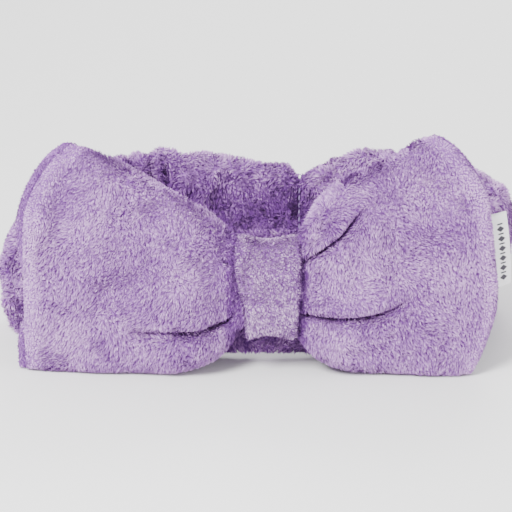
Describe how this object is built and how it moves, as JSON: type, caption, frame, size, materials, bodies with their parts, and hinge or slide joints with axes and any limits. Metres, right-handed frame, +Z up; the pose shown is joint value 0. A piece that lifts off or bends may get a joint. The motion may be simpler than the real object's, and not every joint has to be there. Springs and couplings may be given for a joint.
{
  "type": "spa headband",
  "caption": "Plush fleece face-wash headband with a large soft bow, on a stretchy ruched band that stands on its lower edge.",
  "frame": {"origin": "middle of the headband's footprint, on the surface that it stands on", "axes": "+Z up, the bow faces -Y, the loop runs back along +Y, and the bow's wings lie along X"},
  "size_m": [0.2306, 0.1348, 0.108],
  "materials": {
    "plush_fleece": "lavender coral fleece with a deep brushed pile",
    "short_pile_fleece": "lavender fleece with a short flat pile",
    "elastic_webbing": "white braided elastic",
    "sewing_thread": "lavender polyester sewing thread",
    "satin_ribbon": "white satin ribbon"
  },
  "bodies": {
    "front": {"front_band": "plush_fleece", "front_elastic": "elastic_webbing", "knot_wrap": "short_pile_fleece", "knot_closing_seam": "short_pile_fleece", "knot_upper_tack": "sewing_thread", "knot_lower_tack": "sewing_thread", "bow_waist": "plush_fleece", "left_side_band": "plush_fleece", "right_side_band": "plush_fleece", "left_side_elastic": "elastic_webbing", "right_side_elastic": "elastic_webbing"},
    "back": {"left_back_band": "plush_fleece", "right_back_band": "plush_fleece", "left_back_elastic": "elastic_webbing", "right_back_elastic": "elastic_webbing", "centre_back_seam": "short_pile_fleece", "centre_back_stitching": "sewing_thread"},
    "left_wing": {"left_wing_front_panel": "plush_fleece", "left_wing_back_panel": "plush_fleece", "left_end_seam": "short_pile_fleece"},
    "right_wing": {"right_wing_front_panel": "plush_fleece", "right_wing_back_panel": "plush_fleece", "right_end_seam": "short_pile_fleece"},
    "label": {"side_label": "satin_ribbon"}
  },
  "joints": [
    {"name": "band_stretch", "type": "slide", "parent": "front", "child": "back", "axis": [0, 1, 0], "range_m": [0, 0.06], "stiffness_N_per_m": 120, "deforming": ["left_side_band", "right_side_band", "left_side_elastic", "right_side_elastic"]},
    {"name": "left_wing_flex", "type": "hinge", "parent": "front", "child": "left_wing", "pos_m": [-0.0137, -0.0634, 0.04], "axis": [0, 0, 1], "range_deg": [0, 35], "stiffness_Nm_per_rad": 0.02},
    {"name": "right_wing_flex", "type": "hinge", "parent": "front", "child": "right_wing", "pos_m": [0.0187, -0.0634, 0.04], "axis": [0, 0, -1], "range_deg": [0, 35], "stiffness_Nm_per_rad": 0.02},
    {"name": "label_flap", "type": "hinge", "parent": "right_wing", "child": "label", "pos_m": [0.10608, -0.0525, 0.039], "axis": [-0.071, 0.0993, 0.9925], "range_deg": [-50, 30], "stiffness_Nm_per_rad": 0.0005}
  ]
}
